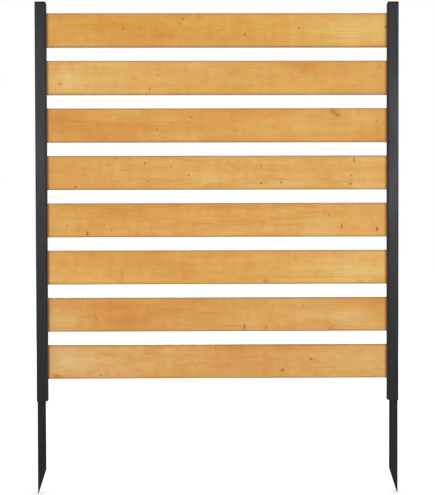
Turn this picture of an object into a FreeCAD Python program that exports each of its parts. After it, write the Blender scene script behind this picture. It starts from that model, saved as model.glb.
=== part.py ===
# Slatted garden privacy screen.
#
# Two square steel posts stand on raked ground stakes and hold a stack of
# horizontal pine slats between them. The ends of every slat pass through slots
# in the posts' inner walls and are locked by one screw each, driven from
# behind. The stakes are folded channels that slide up into the open lower ends
# of the posts, round the end of the lowest slat, and are held there by two
# screws in weld nuts, also driven from behind.
#
# Millimetres, +Z up, front towards -Y. The origin lies on the ground line,
# where the posts end and the bare stakes begin, midway between the posts.

import FreeCAD
import Part
import Sketcher
import os
import re

SIZES = {
    # Posts: square steel tube, closed by a cap above and open below
    "overall_width": 950,
    "post_side": 28,
    "post_wall": 1.5,
    "post_corner": 2,
    # Slats: planed boards with eased edges, evenly spaced
    "slat_count": 8,
    "slat_width": 89,
    "slat_thickness": 15,
    "slat_gap": 35,
    "slat_rounding": 3,
    "slot_play": 0.4,
    "end_play": 0.3,
    "top_margin": 25,
    "bottom_margin": 58,
    # Caps: a flat moulded head on a finned hollow insert
    "cap_head": 4,
    "cap_bevel": 1,
    "cap_insert": 16,
    "cap_wall": 1.6,
    "cap_fit": 0.1,
    "fin_count": 3,
    "fin_reach": 1.2,
    "fin_thickness": 1.2,
    # Ground stakes: folded sheet channel, cut to a point
    "stake_out": 244,
    "stake_above_bolt": 16,
    "stake_flange": 19,
    "stake_sheet": 2,
    "bend_inside": 1,
    "stake_fit": 0.2,
    "point_height": 60,
    # Slat screws: hexagon head, one in each slat end
    "screw_shank": 4.2,
    "screw_head": 8,
    "screw_head_height": 3.5,
    "screw_length": 18,
    "screw_play": 0.4,
    "pilot_play": 0.1,
    # Stake bolts: hexagon head, in square weld nuts
    "bolt_shank": 6,
    "bolt_head": 10,
    "bolt_head_height": 4,
    "bolt_length": 12,
    "bolt_play": 0.6,
    "nut_side": 10,
    "nut_height": 5,
}

WORKED_OUT = {
    "post_bore": "post_side - 2 * post_wall",
    "post_centre": "(overall_width - post_side) / 2",
    "slat_pitch": "slat_width + slat_gap",
    "lowest_slat": "bottom_margin + slat_width / 2",
    "post_length": "bottom_margin + slat_count * slat_pitch - slat_gap + top_margin",
    "slat_end": "post_bore / 2 - stake_fit - stake_sheet - end_play",
    "slat_length": "2 * (post_centre + slat_end)",
    "pilot_depth": "screw_length - (post_side - slat_thickness) / 2 + pilot_play",
    "insert_side": "post_bore - 2 * (cap_fit + fin_reach)",
    "stake_depth": "post_bore - 2 * stake_fit",
    "stake_centre": "post_bore / 2 - stake_fit",
    "low_bolt": "bottom_margin / 2",
    "high_bolt": "bottom_margin + slat_width + slat_gap / 2",
    "stake_length": "stake_out + high_bolt + stake_above_bolt",
}

DIRECTION = {
    "X": FreeCAD.Vector(1, 0, 0),
    "Y": FreeCAD.Vector(0, 1, 0),
    "Z": FreeCAD.Vector(0, 0, 1),
}
CLOSE = 0.01

doc = FreeCAD.newDocument("PrivacyScreen")
sheet = doc.addObject("Spreadsheet::Sheet", "Sizes")
for row, (name, size) in enumerate(SIZES.items(), start=1):
    sheet.set(f"A{row}", name)
    sheet.set(f"B{row}", str(size))
    sheet.setAlias(f"B{row}", name)
doc.recompute()


# Formulas: written in size names, bound to the sheet.

def formula(words):
    """Return a formula of size names as an expression that reads the sheet."""
    def look_up(match):
        word = match.group()
        if word in WORKED_OUT:
            return f"({formula(WORKED_OUT[word])})"
        if word in SIZES:
            return f"Sizes.{word}"
        return word
    return re.sub("[a-z_]+", look_up, words)


def value(words):
    return float(sheet.evalExpression(formula(words)))


def bind(thing, path, words):
    thing.setExpression(path, formula(words))


# Sketches: drawn on a body's own planes, every point held by formulas.

def origin_feature(body, role):
    return next(item for item in body.Origin.OriginFeatures if item.Role == role)


def new_sketch(body, name, role, height=None):
    sketch = body.newObject("Sketcher::SketchObject", name)
    sketch.AttachmentSupport = [(origin_feature(body, role), "")]
    sketch.MapMode = "FlatFace"
    if height:
        bind(sketch, "AttachmentOffset.Base.z", height)
    return sketch


def hold_point(sketch, geometry, point, across, up):
    """Hold one point of a sketch at two distances from the sketch's origin."""
    for kind, words in (("DistanceX", across), ("DistanceY", up)):
        constraint = Sketcher.Constraint(kind, -1, 1, geometry, point, value(words))
        index = sketch.addConstraint(constraint)
        bind(sketch, f"Constraints[{index}]", words)


def add_outline(sketch, corners):
    """Draw a closed outline through (across, up) pairs of formulas."""
    first = sketch.GeometryCount
    places = [FreeCAD.Vector(value(across), value(up), 0) for across, up in corners]
    for index, start in enumerate(places):
        end = places[(index + 1) % len(places)]
        sketch.addGeometry(Part.LineSegment(start, end), False)
    for index, (across, up) in enumerate(corners):
        following = first + (index + 1) % len(corners)
        sketch.addConstraint(Sketcher.Constraint("Coincident", first + index, 2, following, 1))
        hold_point(sketch, first + index, 1, across, up)


def add_rectangle(sketch, across, up, centre="0"):
    """Draw a rectangle of the given width and height, its centre on the second axis."""
    left, right = f"-({across}) / 2", f"({across}) / 2"
    low, high = f"{centre} - ({up}) / 2", f"{centre} + ({up}) / 2"
    add_outline(sketch, [(left, low), (right, low), (right, high), (left, high)])


def add_hexagon(sketch, across_corners):
    """Draw a hexagon about the origin, with two of its corners on the first axis."""
    reach, half = f"({across_corners}) / 2", f"({across_corners}) / 4"
    flat = f"({across_corners}) * sqrt(3) / 4"
    add_outline(sketch, [
        (f"-{reach}", "0"),
        (f"-{half}", f"-{flat}"),
        (half, f"-{flat}"),
        (reach, "0"),
        (half, flat),
        (f"-{half}", flat),
    ])


def add_circle(sketch, across, up, diameter):
    centre = FreeCAD.Vector(value(across), value(up), 0)
    geometry = sketch.addGeometry(
        Part.Circle(centre, DIRECTION["Z"], value(diameter) / 2), False)
    hold_point(sketch, geometry, 3, across, up)
    constraint = Sketcher.Constraint("Diameter", geometry, value(diameter))
    index = sketch.addConstraint(constraint)
    bind(sketch, f"Constraints[{index}]", diameter)


# Features.

def new_body(label):
    body = doc.addObject("PartDesign::Body", label)
    body.Label = label
    return body


def pad(body, name, sketch, length, side="One side", reverse=False):
    feature = body.newObject("PartDesign::Pad", name)
    feature.Profile = sketch
    feature.SideType = side
    feature.Reversed = reverse
    bind(feature, "Length", length)
    doc.recompute()
    return feature


def pocket(body, name, sketch, depth, reverse=False):
    """Cut a sketch to a depth; not reversed, it cuts away from the plane's normal."""
    feature = body.newObject("PartDesign::Pocket", name)
    feature.Profile = sketch
    feature.Reversed = reverse
    bind(feature, "Length", depth)
    doc.recompute()
    return feature


def pocket_through(body, name, sketch):
    feature = body.newObject("PartDesign::Pocket", name)
    feature.Profile = sketch
    feature.Type = "ThroughAll"
    feature.SideType = "Symmetric"
    doc.recompute()
    return feature


def fillet(body, name, base, elements, radius):
    feature = body.newObject("PartDesign::Fillet", name)
    feature.Base = (base, elements)
    bind(feature, "Radius", radius)
    doc.recompute()
    return feature


def chamfer(body, name, base, elements, size):
    feature = body.newObject("PartDesign::Chamfer", name)
    feature.Base = (base, elements)
    bind(feature, "Size", size)
    doc.recompute()
    return feature


def repeat(body, name, originals, axis, count, spacing):
    """Repeat features along an axis, or the whole body so far if none is given."""
    feature = body.newObject("PartDesign::LinearPattern", name)
    if originals:
        feature.Originals = originals
    else:
        feature.TransformMode = "Whole shape"
    feature.Direction = (origin_feature(body, f"{axis}_Axis"), [""])
    feature.Mode = "Spacing"
    bind(feature, "Occurrences", count)
    bind(feature, "Offset", spacing)
    body.Tip = feature
    doc.recompute()
    return feature


def edges_along(feature, axis, keep=lambda middle: True):
    """Name a feature's straight edges along an axis whose middle is kept."""
    names = []
    for number, edge in enumerate(feature.Shape.Edges, start=1):
        if not isinstance(edge.Curve, Part.Line):
            continue
        middle = edge.CenterOfMass
        if abs(edge.Curve.Direction.dot(DIRECTION[axis])) > 1 - CLOSE and keep(middle):
            names.append(f"Edge{number}")
    return names


def end_face(feature, direction):
    """Name the feature's flat face that lies farthest along a direction."""
    def reach(number):
        return feature.Shape.Faces[number - 1].CenterOfMass.dot(direction)

    faces = enumerate(feature.Shape.Faces, start=1)
    flat = [number for number, face in faces
            if isinstance(face.Surface, Part.Plane)
            and abs(face.Surface.Axis.dot(direction)) > 1 - CLOSE]
    return f"Face{max(flat, key=reach)}"


def place(body, across="0", back="0", up="0"):
    for axis, words in zip("xyz", (across, back, up)):
        if words != "0":
            bind(body, f"Placement.Base.{axis}", words)


def mirror(left, label):
    """Make the right-hand piece as the mirror image of the left-hand one."""
    right = doc.addObject("Part::Mirroring", label)
    right.Source = left
    right.Normal = DIRECTION["X"]
    right.Label = label
    return right


# Posts: the inner wall is slotted for the slats' ends, and the back wall has
# the holes of the slat screws and stake bolts. The front and outer walls are
# bare.

def make_post():
    body = new_body("post_left")
    section = new_sketch(body, "PostSection", "XY_Plane")
    add_rectangle(section, "post_side", "post_side")
    bar = pad(body, "PostBar", section, "post_length")
    rounded = fillet(body, "PostCorners", bar, edges_along(bar, "Z"), "post_corner")
    body.Tip = rounded

    bore = new_sketch(body, "PostBoreSection", "XY_Plane")
    add_rectangle(bore, "post_bore", "post_bore")
    pocket(body, "PostBore", bore, "post_length", reverse=True)

    slot_outline = new_sketch(body, "SlotSketch", "YZ_Plane")
    add_rectangle(slot_outline, "slat_thickness + 2 * slot_play",
                  "slat_width + 2 * slot_play", "lowest_slat")
    slot = pocket(body, "Slot", slot_outline, "post_side", reverse=True)
    repeat(body, "Slots", [slot], "Z", "slat_count", "slat_pitch")

    screw_outline = new_sketch(body, "ScrewHoleSketch", "XZ_Plane")
    add_circle(screw_outline, "0", "lowest_slat", "screw_shank + screw_play")
    screw_hole = pocket(body, "ScrewHole", screw_outline, "post_side")
    repeat(body, "ScrewHoles", [screw_hole], "Z", "slat_count", "slat_pitch")

    bolts = new_sketch(body, "BoltHoleSketch", "XZ_Plane")
    for up in ("low_bolt", "high_bolt"):
        add_circle(bolts, "0", up, "bolt_shank + bolt_play")
    body.Tip = pocket(body, "BoltHoles", bolts, "post_side")
    place(body, across="-post_centre")
    return body


# Caps: the head covers the tube's end, and thin fins round the hollow insert
# grip the tube's walls.

def make_cap():
    body = new_body("post_cap_left")
    head_section = new_sketch(body, "HeadSection", "XY_Plane")
    add_rectangle(head_section, "post_side", "post_side")
    head = pad(body, "Head", head_section, "cap_head")
    corners = fillet(body, "HeadCorners", head, edges_along(head, "Z"), "post_corner")
    top = end_face(corners, DIRECTION["Z"])
    bevelled = chamfer(body, "HeadBevel", corners, [top], "cap_bevel")
    body.Tip = bevelled

    insert_section = new_sketch(body, "InsertSection", "XY_Plane")
    add_rectangle(insert_section, "insert_side", "insert_side")
    add_rectangle(insert_section, "insert_side - 2 * cap_wall", "insert_side - 2 * cap_wall")
    pad(body, "Insert", insert_section, "cap_insert", reverse=True)

    fin_section = new_sketch(body, "FinSection", "XY_Plane", height="-cap_insert")
    add_rectangle(fin_section, "post_bore - 2 * cap_fit", "post_bore - 2 * cap_fit")
    add_rectangle(fin_section, "insert_side - 2 * cap_wall", "insert_side - 2 * cap_wall")
    fin = pad(body, "Fin", fin_section, "fin_thickness")
    repeat(body, "Fins", [fin], "Z", "fin_count", "cap_insert / fin_count")
    place(body, across="-post_centre", up="post_length")
    return body


# Slats: boards with their four long edges eased, and a pilot hole in the back
# face near each end.

def make_slat(number):
    body = new_body(f"slat_{number}")
    section = new_sketch(body, f"SlatSection{number}", "YZ_Plane")
    add_rectangle(section, "slat_thickness", "slat_width")
    board = pad(body, f"Board{number}", section, "slat_length", side="Symmetric")
    eased = fillet(body, f"EasedEdges{number}", board, edges_along(board, "X"), "slat_rounding")
    body.Tip = eased

    pilots = new_sketch(body, f"PilotSketch{number}", "XZ_Plane", height="-slat_thickness / 2")
    for across in ("-(post_centre)", "post_centre"):
        add_circle(pilots, across, "0", "screw_shank + pilot_play")
    body.Tip = pocket(body, f"Pilots{number}", pilots, "pilot_depth", reverse=True)
    place(body, up=f"lowest_slat + (slat_count - {number}) * slat_pitch")
    return body


# Stakes: a channel that opens towards the other post, with its web against the
# post's outer wall. One slanting cut across both flanges leaves the web as the
# leading edge, so that the point lies at the screen's outer side.

def make_stake():
    body = new_body("ground_stake_left")
    outer, inner = "stake_depth / 2", "stake_depth / 2 - stake_sheet"
    section = new_sketch(body, "ChannelSection", "XY_Plane")
    add_outline(section, [
        ("0", f"-({outer})"),
        ("stake_flange", f"-({outer})"),
        ("stake_flange", f"-({inner})"),
        ("stake_sheet", f"-({inner})"),
        ("stake_sheet", inner),
        ("stake_flange", inner),
        ("stake_flange", outer),
        ("0", outer),
    ])
    channel = pad(body, "Channel", section, "stake_length")
    bends_out = edges_along(channel, "Z", lambda middle: middle.x < CLOSE)
    folded = fillet(body, "OuterBends", channel, bends_out, "bend_inside + stake_sheet")
    bends_in = edges_along(
        folded, "Z", lambda middle: abs(middle.x - value("stake_sheet")) < CLOSE
        and abs(abs(middle.y) - value(inner)) < CLOSE)
    folded = fillet(body, "InnerBends", folded, bends_in, "bend_inside")
    body.Tip = folded

    rake = new_sketch(body, "RakeSketch", "XZ_Plane")
    add_outline(rake, [("0", "0"), ("stake_flange", "0"), ("stake_flange", "point_height")])
    pocket_through(body, "RakedCut", rake)

    holes = new_sketch(body, "StakeHoleSketch", "XZ_Plane")
    for up in ("low_bolt", "high_bolt"):
        add_circle(holes, "stake_centre", f"stake_out + {up}", "bolt_shank + bolt_play")
    add_circle(holes, "stake_centre", "stake_out + lowest_slat", "screw_shank + bolt_play")
    body.Tip = pocket(body, "StakeHoles", holes, "post_side")
    place(body, across="-stake_centre - post_centre", back="stake_fit", up="-stake_out")
    return body


# Screws and bolts: a hexagon head below the body's origin plane and a shank
# above it, along +Z, turned so that the head seats on the post's back wall.

def make_fastener(label, head, head_height):
    body = new_body(label)
    head_outline = new_sketch(body, f"{label}_head_outline", "XY_Plane")
    add_hexagon(head_outline, f"{head} * 2 / sqrt(3)")
    pad(body, f"{label}_head", head_outline, head_height, reverse=True)
    body.Placement.Rotation = FreeCAD.Rotation(DIRECTION["X"], 90)
    return body


def make_slat_screws():
    body = make_fastener("slat_screws_left", "screw_head", "screw_head_height")
    shank_outline = new_sketch(body, "ScrewShankOutline", "XY_Plane")
    add_hexagon(shank_outline, "screw_shank")
    pad(body, "ScrewShank", shank_outline, "screw_length")
    repeat(body, "ScrewsOfEverySlat", None, "Y", "slat_count", "slat_pitch")
    place(body, across="-post_centre", back="post_side / 2", up="lowest_slat")
    return body


def make_stake_bolts():
    body = make_fastener("stake_bolts_left", "bolt_head", "bolt_head_height")
    shank_outline = new_sketch(body, "BoltShankOutline", "XY_Plane")
    add_circle(shank_outline, "0", "0", "bolt_shank")
    pad(body, "BoltShank", shank_outline, "bolt_length")
    repeat(body, "BoltPair", None, "Y", "2", "high_bolt - low_bolt")
    place(body, across="-post_centre", back="post_side / 2", up="low_bolt")
    return body


# Weld nuts: square, welded on the inside of each stake's back flange.

def make_stake_nuts():
    body = new_body("stake_nuts_left")
    section = new_sketch(body, "NutSection", "XY_Plane")
    add_rectangle(section, "nut_side", "nut_side")
    add_circle(section, "0", "0", "bolt_shank + pilot_play")
    nut = pad(body, "Nut", section, "nut_height")
    repeat(body, "NutPair", [nut], "Y", "2", "high_bolt - low_bolt")
    body.Placement.Rotation = FreeCAD.Rotation(DIRECTION["X"], 90)
    place(body, across="-post_centre", back="post_bore / 2 - stake_sheet", up="low_bolt")
    return body


slats = [make_slat(number) for number in range(1, SIZES["slat_count"] + 1)]
left_side = [
    make_post(),
    make_cap(),
    make_stake(),
    make_slat_screws(),
    make_stake_bolts(),
    make_stake_nuts(),
]
right_side = [mirror(piece, piece.Label.replace("left", "right")) for piece in left_side]
doc.recompute()


def check_features():
    """Stop if a feature failed, or if a pocket removed nothing."""
    for item in doc.Objects:
        if {"Invalid", "Error"} & set(item.State):
            raise RuntimeError(f"{item.Label}: {item.State}")
        if item.TypeId == "PartDesign::Pocket":
            before = item.BaseFeature.Shape.Volume
            if item.Shape.Volume > before - CLOSE:
                raise RuntimeError(f"{item.Label} cuts nothing")


def export(pieces):
    os.makedirs("parts", exist_ok=True)
    for piece in pieces:
        if piece.Shape.isNull() or not piece.Shape.isValid():
            raise RuntimeError(f"{piece.Label} has no valid shape")
    for piece in pieces:
        piece.Shape.exportStep(f"parts/{piece.Label}.step")


check_features()
export(slats + left_side + right_side)
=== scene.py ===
import math

import bmesh
import bpy
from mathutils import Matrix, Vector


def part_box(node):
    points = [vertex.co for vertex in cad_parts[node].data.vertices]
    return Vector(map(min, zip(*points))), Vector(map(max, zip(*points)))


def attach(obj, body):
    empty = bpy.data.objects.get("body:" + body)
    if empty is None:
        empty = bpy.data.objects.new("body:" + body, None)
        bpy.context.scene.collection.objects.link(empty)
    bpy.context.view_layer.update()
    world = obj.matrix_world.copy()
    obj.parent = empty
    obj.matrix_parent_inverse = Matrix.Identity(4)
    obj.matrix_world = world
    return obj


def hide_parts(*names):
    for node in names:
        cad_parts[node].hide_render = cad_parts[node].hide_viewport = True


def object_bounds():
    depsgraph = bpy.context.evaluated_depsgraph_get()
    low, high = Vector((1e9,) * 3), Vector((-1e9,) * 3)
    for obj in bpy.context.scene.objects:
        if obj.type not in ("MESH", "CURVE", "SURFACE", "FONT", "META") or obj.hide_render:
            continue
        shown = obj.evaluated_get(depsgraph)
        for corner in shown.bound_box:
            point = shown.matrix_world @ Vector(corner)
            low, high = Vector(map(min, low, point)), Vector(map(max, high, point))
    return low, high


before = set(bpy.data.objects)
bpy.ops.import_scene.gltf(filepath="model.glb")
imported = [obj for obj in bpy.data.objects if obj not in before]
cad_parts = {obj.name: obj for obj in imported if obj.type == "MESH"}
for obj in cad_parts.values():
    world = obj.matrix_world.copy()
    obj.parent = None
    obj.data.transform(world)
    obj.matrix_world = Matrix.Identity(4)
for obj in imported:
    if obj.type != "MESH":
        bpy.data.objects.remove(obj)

cad_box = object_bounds()


# ---------------------------------------------------------------- Ground stakes
# Two channels folded from 2 mm steel sheet and cut on the slant to a point,
# dipped in a dull black coat. They slide up into the posts and are bolted there.

class Finish:
    """A finish in the making: a material, and short calls that add nodes to it.

    Places and sizes inside a finish are in millimetres of the object's own frame.
    """

    def __init__(self, name):
        self.material = bpy.data.materials.new(name)
        self.material.use_nodes = True
        self.nodes = self.material.node_tree.nodes
        self.shader = self.nodes["Principled BSDF"]
        where = self.add("ShaderNodeTexCoord")
        self.facing = where.outputs["Normal"]
        self.place = self.vector("MULTIPLY", where.outputs["Object"], (1000, 1000, 1000))

    def feed(self, socket, value):
        """Link a socket to another one, or set it to a plain value."""
        if isinstance(value, bpy.types.NodeSocket):
            self.material.node_tree.links.new(value, socket)
        else:
            socket.default_value = value

    def add(self, kind, feeds=None, **settings):
        node = self.nodes.new(kind)
        for name, setting in settings.items():
            setattr(node, name, setting)
        for socket, value in (feeds or {}).items():
            self.feed(node.inputs[socket], value)
        return node

    def sum(self, operation, *values):
        node = self.add("ShaderNodeMath", dict(enumerate(values)), operation=operation)
        return node.outputs[0]

    def vector(self, operation, *values):
        node = self.add("ShaderNodeVectorMath", dict(enumerate(values)), operation=operation)
        return node.outputs["Value" if operation in ("LENGTH", "DOT_PRODUCT") else "Vector"]

    def parts(self, vector):
        """The X, Y and Z of a vector."""
        return self.add("ShaderNodeSeparateXYZ", {0: vector}).outputs

    def cloud(self, grain, detail=2, output="Fac"):
        """Soft noise whose blotches are about grain = (x, y, z) millimetres large."""
        scaled = self.vector("DIVIDE", self.place, grain)
        node = self.add("ShaderNodeTexNoise", {"Vector": scaled, "Scale": 1, "Detail": detail})
        return node.outputs[output]

    def between(self, value, start, end, low=0, high=1):
        """Go smoothly from low to high while value goes from start to end."""
        feeds = {"Value": value, 1: start, 2: end, 3: low, 4: high}
        node = self.add("ShaderNodeMapRange", feeds, interpolation_type="SMOOTHSTEP")
        return node.outputs["Result"]

    def mixed(self, share, first, second):
        """Mix two colours; a share of 0 is the first and 1 the second."""
        feeds = {0: share, 6: first, 7: second}
        node = self.add("ShaderNodeMix", feeds, data_type="RGBA")
        return node.outputs[2]

    def relief(self, height):
        """Raise the surface by a height in millimetres."""
        node = self.add("ShaderNodeBump", {"Height": height, "Distance": 0.001, "Strength": 1})
        self.feed(self.shader.inputs["Normal"], node.outputs["Normal"])

    def give(self, **values):
        """Feed the shader's sockets; Base_Color stands for Base Color."""
        for name, value in values.items():
            self.feed(self.shader.inputs[name.replace("_", " ")], value)


def colour(hexadecimal, scale=(1, 1, 1)):
    """A colour as a painter writes it, such as DBA456, in the renderer's linear light."""
    levels = [int(hexadecimal[i:i + 2], 16) / 255 for i in (0, 2, 4)]
    linear = [v / 12.92 if v <= 0.04045 else ((v + 0.055) / 1.055) ** 2.4 for v in levels]
    return [min(1, v * factor) for v, factor in zip(linear, scale)] + [1]


def dress(names, finish):
    """Give CAD nodes a finish."""
    for name in names:
        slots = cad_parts[name].data.materials
        slots.clear()
        slots.append(finish.material)


def black_coat(name, shade, peel, dullness):
    """A black coat on steel: a pebbled skin, drier on the sides turned to the other post."""
    pebble_height, dust_height = 0.045, 0.006
    coat = Finish(name)
    across, along, _ = coat.parts(coat.facing)
    corner = coat.between(coat.sum("ABSOLUTE", coat.sum("MULTIPLY", across, along)), 0.1, 0.45)
    inward = coat.sum("MULTIPLY", across, coat.sum("SIGN", coat.parts(coat.place)[0]))
    dry = coat.between(inward, -0.35, -0.85)
    pebbles = coat.cloud((peel, peel, peel), detail=3)
    dust = coat.cloud((0.5, 0.5, 0.5), detail=1)
    drift = coat.cloud((45, 45, 160))
    skin = coat.mixed(drift, colour(shade, (0.8, 0.8, 0.8)), colour(shade, (1.25, 1.25, 1.25)))
    skin = coat.mixed(coat.sum("MULTIPLY", corner, 0.3), skin, colour(shade, (1.5, 1.5, 1.5)))
    rough = coat.sum("ADD", coat.between(drift, 0.3, 0.7, dullness - 0.03, dullness + 0.03),
                     coat.sum("MULTIPLY", dry, 1 - dullness))
    coat.relief(coat.sum("ADD", coat.sum("MULTIPLY", pebbles, pebble_height),
                         coat.sum("MULTIPLY", dust, dust_height)))
    coat.give(Base_Color=skin, Roughness=rough, Specular_IOR_Level=0.2)
    coat.skin, coat.rough = skin, rough
    return coat


stake_coat = black_coat("stake_coat", "262626", peel=1.1, dullness=0.6)

# Painted shade: the channel's inner faces are coloured near-black and made dull,
# standing in for the shade deep inside the channel.
# Both fades, in millimetres, lie within the thickness of the sheet.
channel_middle = 0.2
in_flanges, in_outer_wall = (11.2, 10.4), (472.9, 471.7)
stake_x, stake_y, _ = stake_coat.parts(stake_coat.place)
from_middle = stake_coat.sum("ABSOLUTE", stake_coat.sum("SUBTRACT", stake_y, channel_middle))
between_flanges = stake_coat.between(from_middle, *in_flanges)
before_wall = stake_coat.between(stake_coat.sum("ABSOLUTE", stake_x), *in_outer_wall)
channel_shade = stake_coat.sum("MULTIPLY", between_flanges, before_wall)
stake_coat.give(
    # Near-black 090909 here is painted shade inside the channel.
    Base_Color=stake_coat.mixed(channel_shade, stake_coat.skin, colour("090909")),
    Roughness=stake_coat.between(channel_shade, 0, 1, stake_coat.rough, 1),
    Specular_IOR_Level=0.07,
)
dress(["ground_stake_left", "ground_stake_right"], stake_coat)


# ---------------------------------------------------------------- Weld nuts
# Two square steel nuts inside each stake, welded to its back flange and masked
# while it is coated: grey metal with scale, heat tint and some stray black.

nut_metal = Finish("nut_steel")
scale = nut_metal.cloud((1.5, 1.5, 1.5), detail=4)
tint = nut_metal.mixed(nut_metal.between(scale, 0.35, 0.65), colour("4A4744"), colour("8C8984"))
stray_black = nut_metal.between(nut_metal.cloud((0.6, 0.6, 0.6), detail=3), 0.5, 0.62)
nut_metal.relief(nut_metal.sum("MULTIPLY", scale, 0.08))
nut_metal.give(
    Base_Color=nut_metal.mixed(stray_black, tint, colour("1E1E1E")),
    Roughness=nut_metal.between(stray_black, 0, 1, 0.45, 0.65),
    Metallic=0.85,
)
dress(["stake_nuts_left", "stake_nuts_right"], nut_metal)


# ---------------------------------------------------------------- Posts
# Square steel tubes, slotted on the inner side for the slats and drilled from
# behind, then powder coated in satin black.

post_coat = black_coat("powder_coat", "161413", peel=1.6, dullness=0.3)
post_coat.give(Specular_Tint=(0.86, 0.87, 1, 1), Specular_IOR_Level=0.23)
dress(["post_left", "post_right"], post_coat)

# Caps, bolts and screws line up with the posts' middle, and bolts and screws sit on the back.
lowest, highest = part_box("post_right")
POST_MIDDLE, POST_BACK = (lowest.x + highest.x) / 2, highest.y


# ---------------------------------------------------------------- Post caps
# Black plastic caps pressed into the open tops of the posts, with a fine spark
# grain from the mould and the small ring that its gate leaves in the middle.

gate_radius, gate_depth, grain_height = 2, 0.15, 0.04
cap_plastic = Finish("cap_plastic")
cap_x, cap_y, _ = cap_plastic.parts(cap_plastic.place)
off_middle = cap_plastic.sum("SUBTRACT", cap_plastic.sum("ABSOLUTE", cap_x), 1000 * POST_MIDDLE)
to_gate = cap_plastic.sum("SQRT", cap_plastic.sum(
    "ADD", cap_plastic.sum("POWER", off_middle, 2), cap_plastic.sum("POWER", cap_y, 2)))
gate_ring = cap_plastic.between(
    cap_plastic.sum("ABSOLUTE", cap_plastic.sum("SUBTRACT", to_gate, gate_radius)), 0.5, 0.2)
spark_grain = cap_plastic.cloud((0.7, 0.7, 0.7), detail=3)
flow = cap_plastic.cloud((9, 14, 9))
cap_plastic.relief(cap_plastic.sum(
    "SUBTRACT", cap_plastic.sum("MULTIPLY", spark_grain, grain_height),
    cap_plastic.sum("MULTIPLY", gate_ring, gate_depth)))
cap_plastic.give(
    Base_Color=cap_plastic.mixed(flow, colour("08080A"), colour("101012")),
    Roughness=cap_plastic.between(spark_grain, 0.3, 0.7, 0.7, 0.85),
    Specular_IOR_Level=0.15,
)
dress(["post_cap_left", "post_cap_right"], cap_plastic)


# ---------------------------------------------------------------- Stake bolts
# Hexagon-head M6 bolts in black zinc. Two go through the back of each post into
# the weld nuts of its stake.

STEPS = 36  # points round a fastener
SIDES = (("left", -POST_MIDDLE), ("right", POST_MIDDLE))
BOLT_HEIGHTS = (0.029, 0.1645)


def ring(mesh, height, reach):
    """A ring of points at a height; reach is a radius, or a radius for each angle."""
    angles = [math.tau * step / STEPS for step in range(STEPS)]
    radii = [reach(angle) if callable(reach) else reach for angle in angles]
    heights = [height(angle) if callable(height) else height for angle in angles]
    return [mesh.verts.new((r * math.cos(a), r * math.sin(a), h))
            for a, r, h in zip(angles, radii, heights)]


def join_rings(mesh, rings):
    """Skin a stack of rings and close it at both ends."""
    for lower, upper in zip(rings, rings[1:]):
        for step in range(STEPS):
            after = (step + 1) % STEPS
            mesh.faces.new((lower[step], lower[after], upper[after], upper[step]))
    mesh.faces.new(reversed(rings[0]))
    mesh.faces.new(rings[-1])


def hexagon_fastener(name, flats, head, flange, shank, length, pitch, point):
    """Mesh of a hexagon-head screw along Z: its seat at 0, the head above, the thread below.

    The flange is (radius, thickness), and point is how far the thread tapers at its tip.
    """
    mesh = bmesh.new()
    half, root = flats / 2, shank / 2 - 0.55 * pitch
    crown, dish, dish_floor, dish_depth = 0.94 * half, 0.66 * half, 0.58 * half, 0.0003
    rim, lip_height, lip_width = 0.00015, 0.0001, 0.0003
    chamfer, crease, blunt_tip = math.radians(30), math.radians(32), 0.12

    def hexagon(angle):
        return half / math.cos(angle % (math.pi / 3) - math.pi / 6)

    def scalloped(angle):
        return head - (hexagon(angle) - crown) * math.tan(chamfer)

    def thread(height):
        taper = min(1, max(blunt_tip, (length + height) / point))

        def reach(angle):
            turn = (height / pitch + angle / math.tau) % 1
            return taper * (root + (shank / 2 - root) * (1 - abs(2 * turn - 1)))
        return reach

    turns = 4
    rows = round(length / pitch * turns)
    rings = [ring(mesh, -length + row * length / rows, thread(-length + row * length / rows))
             for row in range(rows)]
    rings += [ring(mesh, height, reach) for height, reach in (
        (0, root),
        (0, flange[0] - rim),
        (rim, flange[0]),
        (flange[1], flange[0]),
        (flange[1] + lip_height, flange[0] - lip_width),
        (flange[1] + lip_height, hexagon),
        (scalloped, hexagon),
        (head, crown),
        (head, dish),
        (head - dish_depth, dish_floor),
    )]
    join_rings(mesh, rings)
    for edge in mesh.edges:
        edge.smooth = edge.calc_face_angle(0) < crease
    for face in mesh.faces:
        face.smooth = True
    made = bpy.data.meshes.new(name)
    mesh.to_mesh(made)
    mesh.free()
    return made


def drive_in(label, mesh, finish, node, across, heights):
    """Put one fastener per height into a post's back wall, its head towards the rear."""
    mesh.materials.clear()
    mesh.materials.append(finish.material)
    for number, height in enumerate(heights, start=1):
        piece = bpy.data.objects.new(f"{label}_{number}", mesh)
        bpy.context.scene.collection.objects.link(piece)
        piece.rotation_euler = (-math.pi / 2, 0, 0)
        piece.location = (across, POST_BACK, height)
        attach(piece, "root")
        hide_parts(node)


black_zinc = Finish("black_steel")
handled = black_zinc.cloud((2.5, 2.5, 2.5), detail=4)
black_zinc.relief(black_zinc.sum("MULTIPLY", black_zinc.cloud((0.4, 0.4, 0.4)), 0.01))
black_zinc.give(
    Base_Color=black_zinc.mixed(black_zinc.between(handled, 0.45, 0.7),
                                colour("262628"), colour("4B4A49")),
    Roughness=black_zinc.between(handled, 0.3, 0.7, 0.5, 0.32),
    Metallic=0.7,
)
bolt = hexagon_fastener("stake_bolt", flats=0.010, head=0.004, flange=(0.0047, 0.0003),
                        shank=0.006, length=0.012, pitch=0.001, point=0.0006)
for side, across in SIDES:
    drive_in(f"stake_bolt_{side}", bolt, black_zinc, f"stake_bolts_{side}",
             across, BOLT_HEIGHTS)


# ---------------------------------------------------------------- Slats
# Eight planed pine boards with eased edges, each with its own grain, knots and
# patches, under one coat of honey-coloured stain. Their ends sit in the slots.

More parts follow.
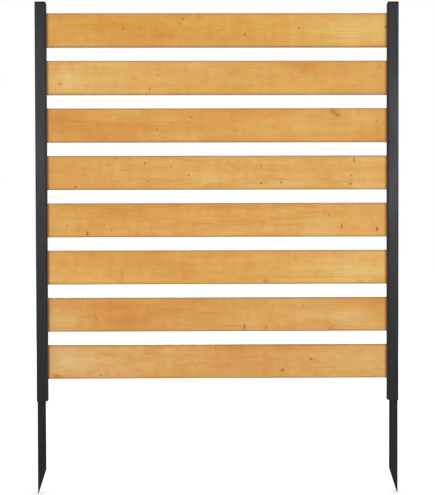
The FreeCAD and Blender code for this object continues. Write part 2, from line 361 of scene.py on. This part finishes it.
def soft_spot(wood, x, z, length, height):
    """1 at a place on the board's face, fading away over the given half lengths."""
    away = wood.vector("SUBTRACT", wood.board, (x, 0, z))
    away = wood.vector("MULTIPLY", away, (1 / length, 0, 1 / height))
    squared = wood.vector("DOT_PRODUCT", away, away)
    return wood.sum("EXPONENT", wood.sum("MULTIPLY", squared, -1))


def pine(name, middle, stain, pith, ring_width, knots, streaks, patches):
    """Stained pine for a board whose middle is at that height, all in millimetres.

    Knots are (x, z, width, height, darkness) from the board's middle. Streaks and patches
    have half lengths and half heights instead, and end in how much darker or paler they are.
    The pith of the log lies at (y, z) from the middle.
    """
    fibre_height, ring_height, knot_depth = 0.05, 0.04, 0.12
    edge_shade_fade, end_shadow_fade = (37.5, 44), (437, 445.5)
    wood = Finish(name)
    wood.board = wood.vector("SUBTRACT", wood.place, (0, 0, middle))
    x, y, z = wood.parts(wood.board)
    ragged = wood.cloud((2, 3, 2), detail=3)

    # A knot is a dark core in a paler eye, and the grain bends round it.
    core, rim, eye, bend = 0, 0, 0, 0
    for knot_x, knot_z, width, height, darkness in knots:
        away = wood.vector("SUBTRACT", wood.board, (knot_x, 0, knot_z))
        near = wood.vector("MULTIPLY", away, (2 / width, 0, 2 / height))
        reach = wood.sum("ADD", wood.vector("LENGTH", near),
                         wood.sum("MULTIPLY", wood.sum("SUBTRACT", ragged, 0.5), 0.9))
        core = wood.sum("MAXIMUM", core, wood.between(reach, 1.7, 0.5, 0, darkness))
        rim = wood.sum("MAXIMUM", rim, wood.between(reach, 3.2, 1.2, 0, darkness))
        wide = wood.vector("MULTIPLY", away, (0.5 / width, 0, 0.9 / height))
        pull = wood.between(wood.vector("LENGTH", wide), 1.6, 0.2)
        eye = wood.sum("MAXIMUM", eye, wood.sum("MULTIPLY", pull, darkness))
        bend = wood.sum("ADD", bend, wood.sum("MULTIPLY", pull, wood.parts(away)[2]))

    # Annual rings round the pith of the log that the board was cut from.
    wander = wood.parts(wood.cloud((420, 90, 90), detail=2, output="Color"))
    from_pith_y = wood.sum("ADD", wood.sum("SUBTRACT", y, pith[0]),
                           wood.sum("MULTIPLY", wander[0], 30))
    from_pith_z = wood.sum("ADD", wood.sum("SUBTRACT", z, pith[1]),
                           wood.sum("MULTIPLY", wander[2], 26))
    from_pith_z = wood.sum("SUBTRACT", from_pith_z, wood.sum("MULTIPLY", bend, 0.6))
    radius = wood.sum("SQRT", wood.sum("ADD", wood.sum("POWER", from_pith_y, 2),
                                       wood.sum("POWER", from_pith_z, 2)))
    uneven = wood.cloud((3000, 14, 14), detail=1)
    year = wood.sum("FRACT", wood.sum("ADD", wood.sum("DIVIDE", radius, ring_width),
                                      wood.sum("MULTIPLY", uneven, 3)))
    late = wood.sum("MULTIPLY", wood.between(year, 0.35, 0.88), wood.between(year, 1, 0.92))

    # Tone: broad patches of paler and deeper stain, then rings, fibres and streaks.
    tone = wood.between(wood.cloud((150, 40, 22), detail=3), 0.25, 0.75, 0.4, 0.6)
    mottle = wood.between(wood.cloud((19, 30, 13), detail=3), 0.25, 0.75, -0.08, 0.08)
    bands = wood.between(wood.cloud((24, 60, 80), detail=2), 0.25, 0.75, -0.07, 0.07)
    tone = wood.sum("ADD", tone, wood.sum("ADD", mottle, bands))
    for patch_x, patch_z, length, height, paler in patches:
        spot = soft_spot(wood, patch_x, patch_z, length, height)
        tone = wood.sum("ADD", tone, wood.sum("MULTIPLY", spot, 0.42 * paler))
    tone = wood.sum("ADD", tone, wood.sum("MULTIPLY", eye, 0.08))
    ramp = wood.add("ShaderNodeValToRGB", {0: tone})
    deep, pale = colour(stain, (0.87, 0.66, 0.46)), colour(stain, (1.09, 1.44, 2.4))
    steps = ramp.color_ramp.elements
    steps[0].color, steps[1].color = deep, pale
    steps.new(0.5).color = colour(stain)
    fibres = wood.cloud((60, 1.1, 0.7), detail=4)
    ticks = wood.between(wood.cloud((14, 2, 0.7), detail=1), 0.70, 0.78)
    line = wood.sum("MULTIPLY", late, wood.between(wood.cloud((300, 30, 16)), 0.3, 0.7, 0.05, 0.27))
    for streak_x, streak_z, length, height, darkness in streaks:
        spot = soft_spot(wood, streak_x, streak_z, length, height)
        line = wood.sum("ADD", line, wood.sum("MULTIPLY", spot, darkness))
    line = wood.sum("ADD", line, wood.sum("MULTIPLY", ticks, 0.25))
    line = wood.sum("ADD", line, wood.between(fibres, 0.25, 0.75, -0.12, 0.16))
    pores = wood.cloud((26, 0.6, 0.3), detail=2)
    line = wood.sum("ADD", line, wood.between(pores, 0.3, 0.7, -0.11, 0.13))
    face = wood.mixed(line, ramp.outputs["Color"], colour(stain, (0.72, 0.50, 0.30)))
    face = wood.mixed(wood.sum("MULTIPLY", rim, 0.4), face, colour("B56A1E"))
    face = wood.mixed(core, face, wood.mixed(ragged, colour("6E3602"), colour("A86010")))

    # Painted shade: the eased edges are coloured a darker brown, as their rounding looks in shade,
    # and a painted shadow darkens each board's ends where they meet a post.
    ragged_edge_shade = wood.between(fibres, 0.25, 0.75, -1.6, 1.6)
    edge = wood.between(wood.sum("ADD", wood.sum("ABSOLUTE", z), ragged_edge_shade), *edge_shade_fade)
    end = wood.between(wood.sum("ABSOLUTE", x), *end_shadow_fade)
    # The 9C774C band along both eased edges is painted shade.
    face = wood.mixed(wood.sum("MULTIPLY", edge, 0.62), face, colour("9C774C"))
    # Painted shadow: 5A3010 darkens each board's ends where the post shades them.
    face = wood.mixed(wood.sum("MULTIPLY", end, 0.9), face, colour("5A3010"))

    ridges = wood.sum("SUBTRACT", wood.sum("MULTIPLY", late, ring_height),
                      wood.sum("MULTIPLY", core, knot_depth))
    wood.relief(wood.sum("ADD", wood.sum("MULTIPLY", fibres, fibre_height), ridges))
    wood.give(
        Base_Color=face,
        Roughness=wood.between(fibres, 0.3, 0.7, 0.56, 0.46),
        Specular_IOR_Level=0.3,
    )
    return wood


# Where the marks of each board lie. Most knots and about half of the streaks and patches
# were found in the photograph by a measuring script, which also gave those patches their
# strength. The rest were given after render and photograph had been compared.
SLATS = {
    1: dict(
        stain="DBA247", pith=(70, -62), ring_width=4.2,
        knots=[(73, -11, 3.1, 3.1, 1), (-89, 29, 3, 3, 1), (-245, 4, 3, 3, 1),
               (214, 5.5, 3.4, 3, 0.9), (-80, 3, 2.6, 2.4, 0.7), (441, 7, 4, 3.4, 0.9)],
        streaks=[(-94, 18, 6, 5, 0.3), (-16, -18, 9, 13, 0.15), (-372, 10, 60, 2, 0.25),
                 (-330, 14, 30, 1.4, 0.25)],
        patches=[(-374, -37, 30, 10, 0.2), (-285, 9, 40, 20, -0.55), (-216, -4, 40, 20, -0.6),
                 (-138, -9, 40, 20, -0.5), (-97, 38, 40, 10, -0.4), (45, 28, 40, 12, -0.2),
                 (349, 0, 70, 30, 1.0),
                 (400, 0, 110, 60, 0.4), (240, -10, 80, 40, 0.3), (-60, -20, 70, 30, -0.35),
                 (-380, 38, 120, 25, -0.4), (-200, 20, 120, 50, -0.15),
                 (430, 8, 30, 40, 0.4)]),
    2: dict(
        stain="DDA753", pith=(-60, 88), ring_width=3.8,
        knots=[(-176, -30, 3, 3, 1), (-410, -15, 4.2, 2.6, 0.8), (-155, 7, 2.6, 3.4, 0.8),
               (427, 27, 3, 4, 0.6)],
        streaks=[(58, -32, 13, 12, 0.2), (42, 13, 11, 12, 0.2), (147, 1.6, 22, 2.4, 0.3),
                 (225, 17, 11, 9, 0.25), (-300, 13, 22, 1.6, 0.2)],
        patches=[(-378, -6, 55, 30, 0.8), (-248, 38, 40, 12, 0.35), (-90, -37, 40, 10, -0.2),
                 (-59, 38, 40, 10, 0.3), (49, -31, 30, 12, -0.2), (50, 16, 30, 12, -0.25),
                 (228, 29, 45, 18, -0.75), (296, -37, 30, 10, -0.15),
                 (-260, -15, 90, 45, 0.3), (-90, 10, 50, 45, -0.25), (150, 38, 35, 18, -0.45),
                 (320, 25, 60, 30, -0.35), (190, -30, 80, 16, 0.15), (-330, 35, 90, 20, 0.15),
                 (430, -34, 35, 16, -0.3)]),
    3: dict(
        stain="DB9E48", pith=(52, 74), ring_width=4.6,
        knots=[(-157, -11, 3.2, 2.8, 0.9), (-68, 21, 2.6, 3, 0.9), (-118, 8, 4, 2, 0.6),
               (-72, 6, 2.6, 2.4, 0.5), (418, 11, 2.6, 2.6, 0.6), (324, 3.5, 2.4, 2.4, 0.5),
               (105, 5, 2.4, 2, 0.4)],
        streaks=[(316, 26, 6, 5, 1.1), (308, 32, 6, 5, 0.8), (301, 38, 8, 6, 0.8),
                 (305, 15, 24, 2.4, 0.4), (-365, 9, 60, 2.2, 0.45), (-230, 7, 70, 1.6, 0.2),
                 (50, -13, 9, 1.4, 0.4), (250, 9, 60, 1.6, 0.25)],
        patches=[(-309, 38, 35, 10, 0.35), (-301, -37, 35, 12, -0.45), (-198, 3, 40, 22, -0.4),
                 (-76, -37, 35, 12, 0.3), (29, 38, 45, 10, -0.35), (114, -9, 45, 22, 0.4),
                 (227, -1, 50, 22, 0.55), (281, -37, 40, 10, 0.4), (369, 25, 35, 15, 0.35),
                 (-420, 25, 60, 30, -0.65), (-330, -8, 80, 26, -0.5), (-110, 0, 60, 45, 0.25),
                 (270, -5, 80, 45, 0.25), (400, 10, 60, 45, 0.25), (-220, -10, 60, 30, -0.15),
                 (-235, 36, 40, 14, 0.35), (13, -36, 40, 14, -0.35), (430, -34, 35, 16, -0.3)]),
    4: dict(
        stain="DDA653", pith=(-85, -55), ring_width=3.6,
        knots=[(-371, -37, 5, 3.4, 1), (115, -28, 3.7, 3.7, 1), (349, -30, 3.6, 3.6, 1),
               (-189, 24, 3, 4.3, 1), (167, -26, 3.4, 3.4, 1), (359, 33, 2.6, 8, 1),
               (-266, 38, 3.8, 3, 0.9), (-75, -7.5, 3, 3, 0.9), (-120, 16, 2.8, 3.6, 0.9),
               (-181, -23, 2.8, 3.4, 0.9), (352, -7.5, 2.8, 3, 0.8), (115, 18, 2.6, 4, 0.6),
               (-247, 7, 9, 1.8, 0.45), (-277, -11, 2, 3, 0.45)],
        streaks=[(-183, -36, 26, 5, 0.15)],
        patches=[(-183, -37, 40, 12, -0.4), (-129, 38, 30, 8, -0.2), (-16, -15, 50, 22, 0.4),
                 (83, 17, 35, 15, 0.2), (202, -20, 45, 25, 0.4), (382, -37, 40, 12, 0.4),
                 (396, 38, 40, 12, 0.5), (-300, 0, 60, 20, 0.1),
                 (-400, -5, 90, 60, -0.5), (-200, -38, 60, 14, 0.2), (120, -35, 60, 18, 0.4),
                 (60, 36, 100, 16, 0.2), (400, 0, 60, 60, 0.25), (360, -36, 60, 14, 0.15),
                 (199, 36, 35, 14, 0.4), (-280, -36, 35, 12, -0.35)]),
    5: dict(
        stain="DCA24D", pith=(64, 40), ring_width=4.4,
        knots=[(-341, -35, 3.6, 8, 1), (419, -24, 3.2, 9, 1), (326, -17, 2, 10, 0.9),
               (-393, -14, 3, 3, 0.9), (-297, -11, 3, 2.4, 0.8), (293, 12, 2, 3.4, 0.7),
               (-278, -26, 2, 4.4, 0.6), (142, 8, 2.2, 2.6, 0.7)],
        streaks=[(-55, -9, 24, 2, 0.3), (106, -4, 20, 2, 0.35), (-172, -41, 12, 2, 0.5),
                 (40, -11, 60, 1.6, 0.25), (190, 2, 60, 1.6, 0.15)],
        patches=[(-278, 25, 40, 14, -0.5), (-194, 29, 40, 12, -0.45), (-129, -37, 40, 10, 0.25),
                 (-99, 38, 40, 12, -0.5), (3, 38, 50, 12, -0.65), (6, -37, 45, 10, 0.3),
                 (137, -22, 35, 12, 0.25), (164, 15, 30, 14, 0.25), (259, -20, 50, 22, 0.6),
                 (384, -37, 35, 10, 0.3),
                 (-350, 36, 40, 16, -0.5), (-250, 8, 70, 20, -0.3), (-95, 38, 35, 14, -0.35),
                 (-400, 0, 40, 25, 0.25), (-20, -34, 100, 16, 0.2), (310, -34, 80, 18, 0.3),
                 (270, 10, 50, 20, 0.15), (-270, -36, 35, 14, 0.45)]),
    6: dict(
        stain="DFA750", pith=(-58, -80), ring_width=4.0,
        knots=[(127, -40, 6, 7, 0.35)],
        streaks=[(127, -38, 8, 7, 0.5), (-250, -21, 4, 8, 0.35), (-163, 38, 18, 2, 0.5),
                 (205, 26, 3.5, 10, 0.3), (-263, -7.5, 20, 2, 0.3), (319, -5, 12, 2, 0.25),
                 (240, -26, 150, 1.7, 0.35), (-250, -8, 3, 14, 0.15)],
        patches=[(-370, -37, 35, 10, 0.25), (-167, 38, 45, 14, -0.75), (-89, -6, 45, 25, -0.5),
                 (-8, 38, 45, 12, -0.45), (140, 38, 45, 10, -0.3), (367, -13, 65, 28, 0.9),
                 (-310, 36, 100, 20, -0.4), (-175, 0, 60, 26, -0.35), (-390, -20, 60, 26, 0.2),
                 (-40, -20, 80, 25, -0.2), (290, 5, 70, 30, 0.45), (190, -32, 80, 20, 0.4),
                 (400, 36, 60, 18, 0.35), (430, 10, 30, 30, 0.3)]),
    7: dict(
        stain="D99E4D", pith=(78, -36), ring_width=4.1,
        knots=[(70, -33.5, 2.8, 9, 1), (128, -35, 2.4, 6, 0.8), (-317, -11, 2.4, 4.4, 0.6),
               (-320, 15, 2, 7, 0.35), (-321, 3, 1.4, 9, 0.3)],
        streaks=[(297, -37, 10, 6, 0.6), (-28, 4, 30, 1.8, 0.3), (-337, -4, 22, 2, 0.35),
                 (-3, 1.6, 45, 1.8, 0.25), (225, 24, 3, 8, 0.35), (-127, 4, 80, 1.8, 0.3),
                 (-294, -37, 2.2, 2.2, -1.2)],
        patches=[(-397, -17, 40, 20, 0.35), (-268, 25, 45, 16, -0.7), (-229, -20, 45, 18, -0.5),
                 (-125, 11, 45, 18, -0.4), (-32, 38, 45, 10, -0.35), (98, -4, 45, 22, 0.3),
                 (352, -7, 60, 26, 0.8),
                 (-410, -10, 50, 35, 0.3), (-270, 0, 80, 50, -0.3), (-190, -30, 60, 20, -0.15),
                 (230, -8, 80, 45, 0.45), (410, 30, 40, 22, -0.4), (150, 36, 50, 16, 0.25),
                 (419, -36, 35, 14, 0.4), (430, 36, 35, 14, -0.35), (-430, -36, 35, 14, 0.3)]),
    8: dict(
        stain="DBA459", pith=(-72, 58), ring_width=3.9,
        knots=[(170, -23, 4.4, 5, 1), (245, 5.5, 5.6, 4.4, 0.8), (-307.5, -36, 3, 3, 1),
               (-6, 35, 3.2, 2.8, 0.7), (24, -5, 3, 2.4, 0.6), (-400, -20.5, 10, 1.8, 0.4),
               (-208, -23, 3, 2.4, 0.45), (-67, 3, 3, 2.2, 0.4)],
        streaks=[(-425, -37, 9, 6, 0.9), (-412, -41, 12, 4, 0.4), (95, 12, 45, 2.2, 0.4),
                 (150, 5.5, 22, 2, 0.35), (-170, 12, 30, 1.6, 0.15), (265, -2, 4, 3, 0.3)],
        patches=[(-382, 4, 60, 26, 0.7), (-164, -37, 40, 10, -0.25), (-158, 38, 40, 10, -0.35),
                 (-81, -37, 40, 10, -0.35), (53, 38, 50, 12, -0.65), (122, -37, 50, 12, -0.5),
                 (194, 38, 40, 10, -0.4), (291, 3, 45, 22, 0.3), (382, -2, 45, 22, 0.45),
                 (-400, 0, 60, 30, 0.4), (-280, 5, 100, 24, 0.35), (10, -5, 50, 35, -0.5),
                 (150, 20, 80, 40, -0.35), (240, 36, 80, 14, -0.2), (-360, -36, 100, 14, 0.2),
                 (430, -6, 30, 25, 0.3)]),
}
for number, board in SLATS.items():
    lowest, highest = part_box(f"slat_{number}")
    middle = 500 * (lowest.z + highest.z)
    dress([f"slat_{number}"], pine(f"pine_{number}", middle, **board))


# ---------------------------------------------------------------- Slat screws
# Zinc-plated hexagon washer-head screws, one into each end of each slat, driven
# through the post's back wall. The lowest one holds the stake too.

bright_zinc = Finish("zinc_steel")
spangle = bright_zinc.cloud((1.2, 1.2, 1.2), detail=4)
brushed = bright_zinc.cloud((0.15, 2, 0.15), detail=3)
bright_zinc.relief(bright_zinc.sum("MULTIPLY", brushed, 0.012))
bright_zinc.give(
    Base_Color=bright_zinc.mixed(spangle, colour("9FA2A6"), colour("C9C6BC")),
    Roughness=bright_zinc.between(spangle, 0.3, 0.7, 0.28, 0.44),
    Metallic=1,
)
screw = hexagon_fastener("slat_screw", flats=0.008, head=0.0035, flange=(0.0053, 0.0008),
                         shank=0.0042, length=0.018, pitch=0.0014, point=0.003)
for side, across in SIDES:
    drive_in(f"slat_screw_{side}", screw, bright_zinc, f"slat_screws_{side}",
             across, [sum(corner.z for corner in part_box(f"slat_{number}")) / 2
                      for number in SLATS])


# ---------------------------------------------------------------- Floor and backdrop
# A plain white floor under the stakes' points, and white all round. Seen by the
# camera they are white, and the floor still takes the screen's shadow.

def white_seen(nodes):
    """1 for rays from the camera or off shiny or clear surfaces, else 0."""
    path = nodes.new("ShaderNodeLightPath")
    seen = path.outputs["Is Camera Ray"]
    for other in ("Is Glossy Ray", "Is Transmission Ray"):
        either = nodes.new("ShaderNodeMath")
        either.operation = "MAXIMUM"
        nodes.id_data.links.new(seen, either.inputs[0])
        nodes.id_data.links.new(path.outputs[other], either.inputs[1])
        seen = either.outputs[0]
    return seen


floor_reach, floor_gap = 15, 0.0002
floor_shape = bmesh.new()
bmesh.ops.create_grid(floor_shape, x_segments=1, y_segments=1, size=floor_reach)
floor_mesh = bpy.data.meshes.new("floor")
floor_shape.to_mesh(floor_mesh)
floor_shape.free()
floor = bpy.data.objects.new("floor", floor_mesh)
floor.location.z = cad_box[0].z - floor_gap
bpy.context.scene.collection.objects.link(floor)

floor_paint = bpy.data.materials.new("floor_paint")
floor_paint.use_nodes = True
paint = floor_paint.node_tree
paint_shader = paint.nodes["Principled BSDF"]
paint_shader.inputs["Base Color"].default_value = (0.8, 0.8, 0.8, 1)
paint_shader.inputs["Roughness"].default_value = 0.9
paint_shader.inputs["Specular IOR Level"].default_value = 0
paint_shader.inputs["Emission Color"].default_value = (1, 1, 1, 1)
where = paint.nodes.new("ShaderNodeTexCoord")
away = paint.nodes.new("ShaderNodeVectorMath")
away.operation = "LENGTH"
paint.links.new(where.outputs["Object"], away.inputs[0])
# Its own white rises with the distance, as less of the lamps' light gets there.
brighter = paint.nodes.new("ShaderNodeMapRange")
white_by_distance = {"From Min": 0.5, "From Max": 5, "To Min": 0.4, "To Max": 0.68}
for socket, value in white_by_distance.items():
    brighter.inputs[socket].default_value = value
paint.links.new(away.outputs["Value"], brighter.inputs["Value"])
lift = paint.nodes.new("ShaderNodeMath")
lift.operation = "MULTIPLY"
paint.links.new(white_seen(paint.nodes), lift.inputs[0])
paint.links.new(brighter.outputs["Result"], lift.inputs[1])
paint.links.new(lift.outputs[0], paint_shader.inputs["Emission Strength"])
floor_mesh.materials.append(floor_paint)

world = bpy.data.worlds.new("studio")
bpy.context.scene.world = world
world.use_nodes = True
sky = world.node_tree
plain = sky.nodes["Background"]
plain.inputs["Color"].default_value = (1, 1, 1, 1)
strength = sky.nodes.new("ShaderNodeMapRange")
strength.inputs["To Min"].default_value = 0.5
strength.inputs["To Max"].default_value = 1
sky.links.new(white_seen(sky.nodes), strength.inputs["Value"])
sky.links.new(strength.outputs["Result"], plain.inputs["Strength"])


# ---------------------------------------------------------------- Lights
# Large soft lamps: the main one in front on the left, two beside the camera that
# the posts mirror, a weak one on the right, and two behind for the rear views.

def soft_lamp(name, place, aim, width, height, watts):
    lamp = bpy.data.lights.new(name, "AREA")
    lamp.shape = "RECTANGLE"
    lamp.size, lamp.size_y, lamp.energy = width, height, watts
    holder = bpy.data.objects.new(name, lamp)
    holder.location = place
    toward = [a - p for a, p in zip(aim, place)]
    yaw = math.atan2(-toward[0], toward[1])
    pitch = math.atan2(toward[2], math.hypot(toward[0], toward[1]))
    holder.rotation_euler = (math.pi / 2 + pitch, 0, yaw)
    bpy.context.scene.collection.objects.link(holder)


soft_lamp("main_lamp", (-2.6, -3.4, 2.0), (0, 0, 0.35), 2.0, 2.0, 30)
soft_lamp("left_strip", (-1.0, -3.8, 0.93), (-0.45, 0, 0.5), 0.8, 1.24, 17)
soft_lamp("right_strip", (1.08, -3.8, 0.93), (0.45, 0, 0.5), 0.8, 1.24, 24)
soft_lamp("right_lamp", (3.0, -2.8, 0.9), (0.2, 0, 0.3), 1.6, 1.6, 16)
soft_lamp("rear_lamp", (1.6, 3.2, 2.2), (0, 0, 0.45), 2.0, 2.0, 44)
soft_lamp("rear_strip", (-0.9, 3.8, 1.1), (0, 0, 0.5), 2.2, 1.0, 34)


# ---------------------------------------------------------------- Camera
# A long lens 3 m in front, near the height of the screen's middle, looking slightly
# down. Its place and turn were fitted to the edges of the posts and slats.

lens = bpy.data.cameras.new("camera")
lens.lens = 83
lens.sensor_width = 36
camera = bpy.data.objects.new("camera", lens)
camera.location = (-0.0318, -3, 0.4667)
camera.rotation_euler = [math.radians(angle) for angle in (90 - 1.232, 0.144, -0.613)]
bpy.context.scene.collection.objects.link(camera)
bpy.context.scene.camera = camera
bpy.context.scene.view_settings.view_transform = "Standard"
